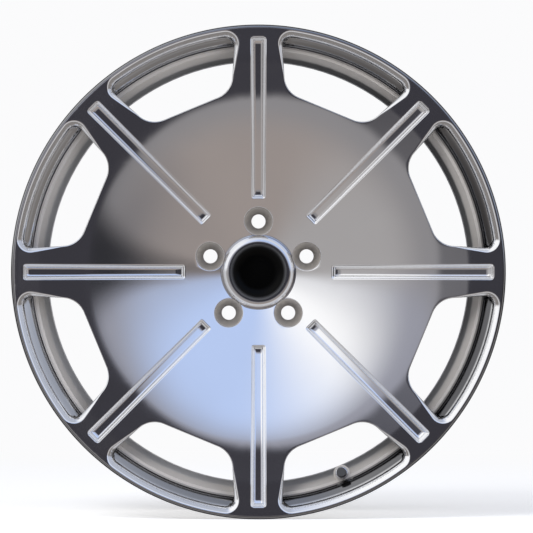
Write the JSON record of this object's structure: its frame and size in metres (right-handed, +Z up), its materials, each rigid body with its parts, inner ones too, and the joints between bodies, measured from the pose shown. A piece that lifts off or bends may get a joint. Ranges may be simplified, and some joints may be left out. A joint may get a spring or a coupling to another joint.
{
  "type": "wheel",
  "caption": "Polished full-face forged wheel with a dished front disc, rim windows, grooved spokes, bolted barrel, lug seats, pull-off centre cap and clamp-in valve",
  "frame": {"origin": "on the wheel axis, at the middle of the rim width", "axes": "+Y is the wheel axis and points from the front face to the vehicle side, +Z is up with one lug hole at the top, +X is to the right seen from the front"},
  "size_m": [0.543, 0.254, 0.543],
  "materials": {
    "polished_alloy": "mirror polished forged aluminium",
    "turned_alloy": "fine turned and clear anodised aluminium",
    "turned_steel": "fine turned steel",
    "plated_steel": "zinc plated steel",
    "bright_chrome": "bright plating",
    "nickel_brass": "nickel plated brass",
    "gloss_black": "deep gloss black moulding",
    "black_moulding": "matte black moulding",
    "seal_rubber": "matte black rubber"
  },
  "bodies": {
    "wheel": {"face_disc": "polished_alloy", "lug_seat_inserts": "turned_steel", "hub_ring": "turned_alloy", "thread_inserts": "plated_steel", "barrel": "turned_alloy", "barrel_seal_ring": "seal_rubber", "assembly_bolts": "plated_steel", "bolt_washers": "plated_steel", "dowel_pins": "turned_steel", "valve_stem": "nickel_brass", "valve_grommet": "seal_rubber", "valve_washer": "bright_chrome", "valve_nut": "bright_chrome", "valve_core_body": "nickel_brass", "valve_spring": "plated_steel"},
    "centre_cap": {"cap_bezel": "bright_chrome", "cap_face": "gloss_black", "cap_body": "black_moulding", "cap_spring_ring": "plated_steel", "cap_o_ring": "seal_rubber"},
    "valve_cap_lift": {"valve_cap_gasket": "seal_rubber"},
    "valve_cap": {"valve_cap": "black_moulding"},
    "valve_pin": {"valve_pin": "nickel_brass"}
  },
  "joints": [
    {"name": "centre_cap_pull", "type": "slide", "parent": "wheel", "child": "centre_cap", "axis": [0, -1, 0], "range_m": [0, 0.045]},
    {"name": "valve_cap_lift", "type": "slide", "parent": "wheel", "child": "valve_cap_lift", "axis": [-0.0533, -0.9903, 0.1286], "range_m": [0, 0.012]},
    {"name": "valve_cap_turn", "type": "hinge", "parent": "valve_cap_lift", "child": "valve_cap", "pos_m": [0.09188, -0.0984, -0.22182], "axis": [-0.0533, -0.9903, 0.1286], "range_deg": [0, 5460]},
    {"name": "valve_pin_press", "type": "slide", "parent": "wheel", "child": "valve_pin", "axis": [0.0533, 0.9903, -0.1286], "range_m": [0, 0.001], "stiffness_N_per_m": 300, "springref_m": -0.002, "deforming": ["valve_spring"]}
  ],
  "couplings": [
    {"joint": "valve_cap_turn", "follows": "valve_cap_lift", "rad_per_m": 7913.3}
  ]
}
